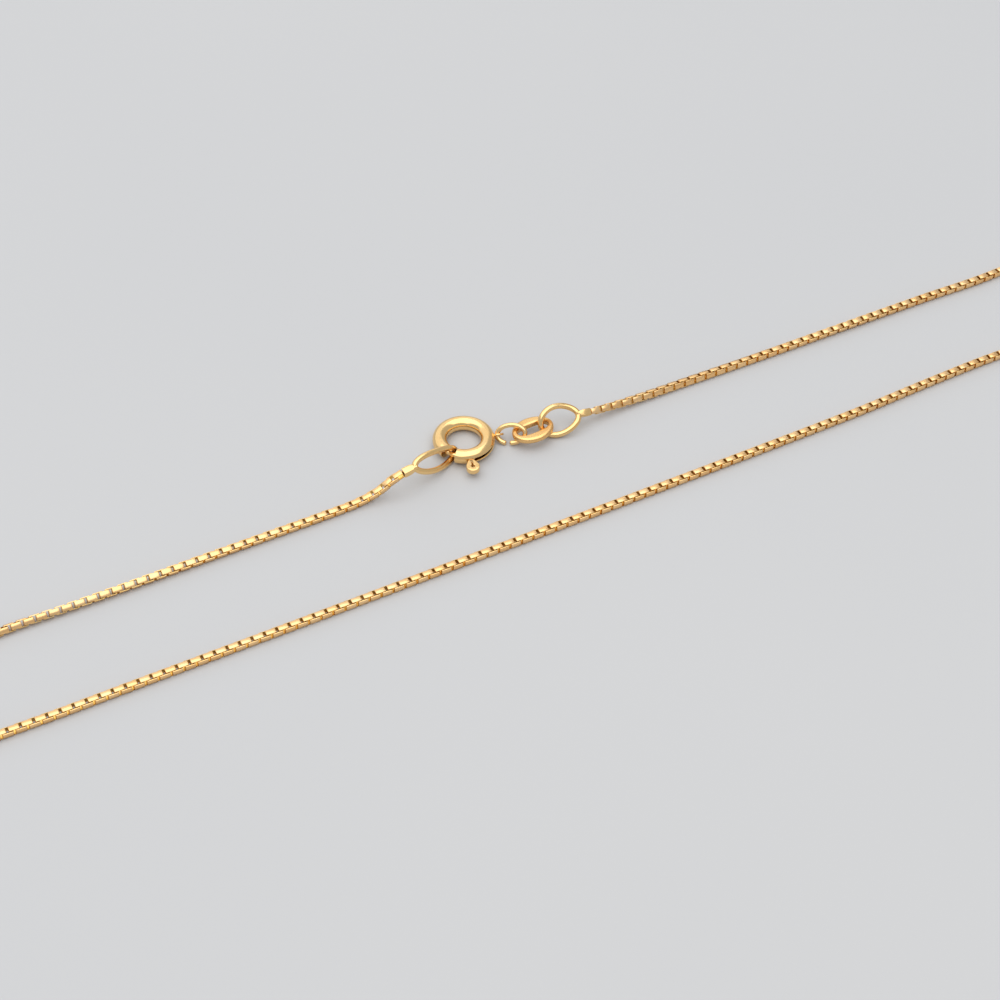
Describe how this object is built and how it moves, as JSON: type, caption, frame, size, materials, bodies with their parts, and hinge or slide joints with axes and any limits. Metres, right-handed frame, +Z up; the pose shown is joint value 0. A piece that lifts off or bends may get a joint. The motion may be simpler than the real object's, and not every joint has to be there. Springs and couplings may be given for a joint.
{
  "type": "box chain necklace",
  "caption": "Fine box chain necklace in yellow gold, a closed loop of square interlocking links fastened by a spring ring clasp, two oval end rings, an eye ring and a stout connector link.",
  "frame": {"origin": "middle of the necklace's outline, on the surface that it lies on", "axes": "+X along the two straight runs of chain towards the connector link's side, +Y from the front run to the run that holds the clasp, +Z up"},
  "size_m": [0.1966, 0.0366, 0.0027],
  "materials": {
    "chain_gold": "polished yellow gold",
    "clasp_gold": "polished yellow gold, softly worn"
  },
  "bodies": {
    "necklace": {"box_chain": "chain_gold", "left_end_ring": "clasp_gold", "right_end_ring": "clasp_gold", "clasp_ring": "clasp_gold", "clasp_eye": "clasp_gold", "connector_link": "clasp_gold"},
    "bolt": {"clasp_bolt": "clasp_gold"}
  },
  "joints": [
    {"name": "bolt_slide_round", "type": "hinge", "parent": "necklace", "child": "bolt", "pos_m": [-0.003, 0.0076, 0.00073], "axis": [0.0316, 0.0197, 0.9993], "range_deg": [0, 34], "stiffness_Nm_per_rad": 0.002, "springref_deg": -28.65}
  ]
}
